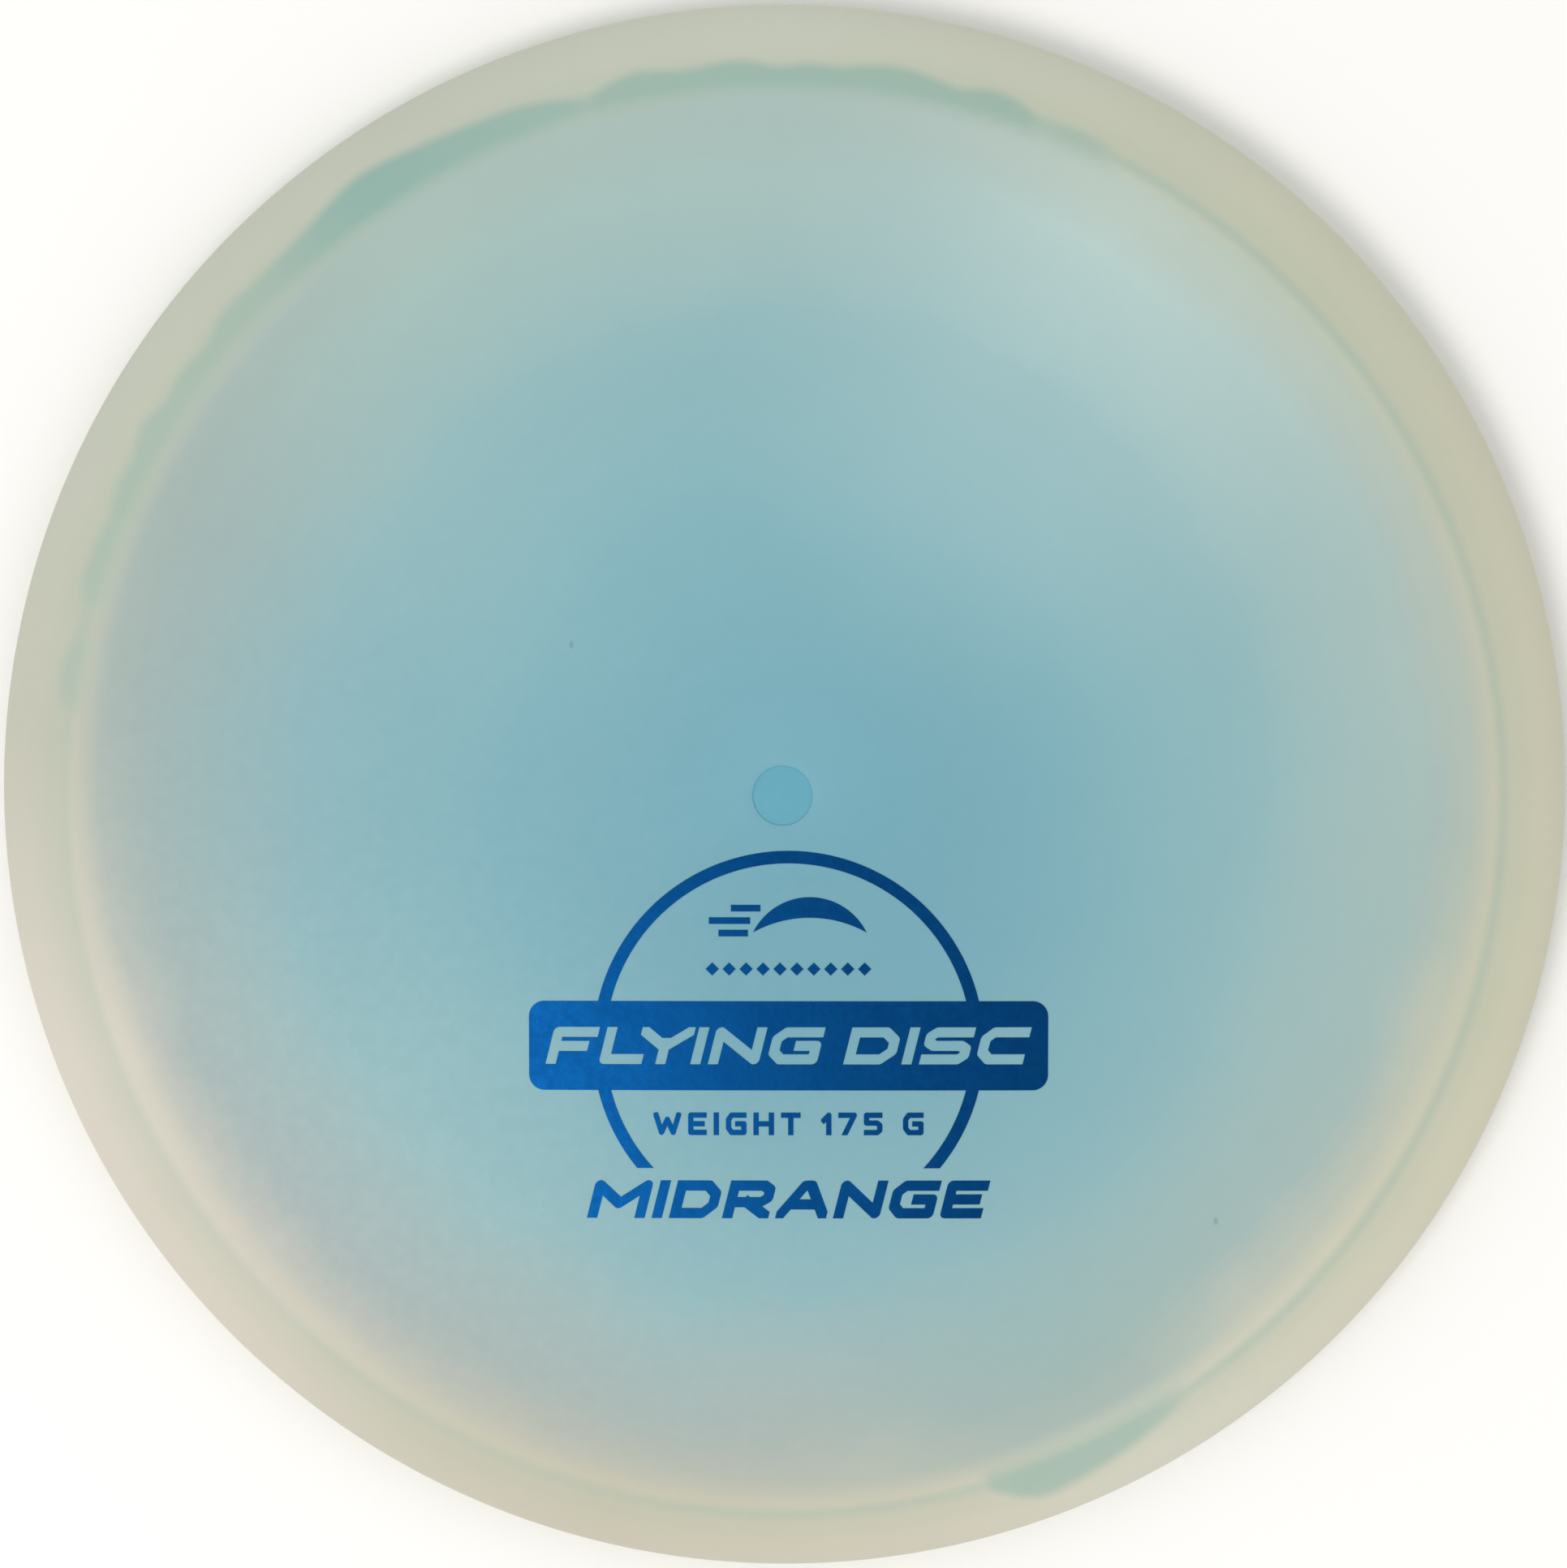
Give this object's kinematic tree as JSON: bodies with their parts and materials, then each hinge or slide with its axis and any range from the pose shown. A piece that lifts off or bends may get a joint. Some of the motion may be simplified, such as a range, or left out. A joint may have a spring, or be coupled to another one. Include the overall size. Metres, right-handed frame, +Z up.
{
  "type": "flying disc",
  "caption": "Golf-style flying disc with a shallow dome, a deep rim, a moulded-in grip liner and a foil stamp on top.",
  "frame": {"origin": "on the floor, under the middle of the disc", "axes": "+Z up along the disc's axis, +Y from the stamp towards the middle, so the stamp reads upright seen from above with +X to the right"},
  "size_m": [0.215, 0.215, 0.019],
  "materials": {
    "cream_shell": "satin",
    "blue_liner": "satin",
    "blue_foil": "polished"
  },
  "bodies": {
    "root": {"top_shell": "cream_shell", "grip_liner": "blue_liner", "stamp_badge": "blue_foil", "stamp_pictogram": "blue_foil", "stamp_diamond_row": "blue_foil", "stamp_weight_line": "blue_foil", "stamp_class_line": "blue_foil"}
  },
  "joints": []
}
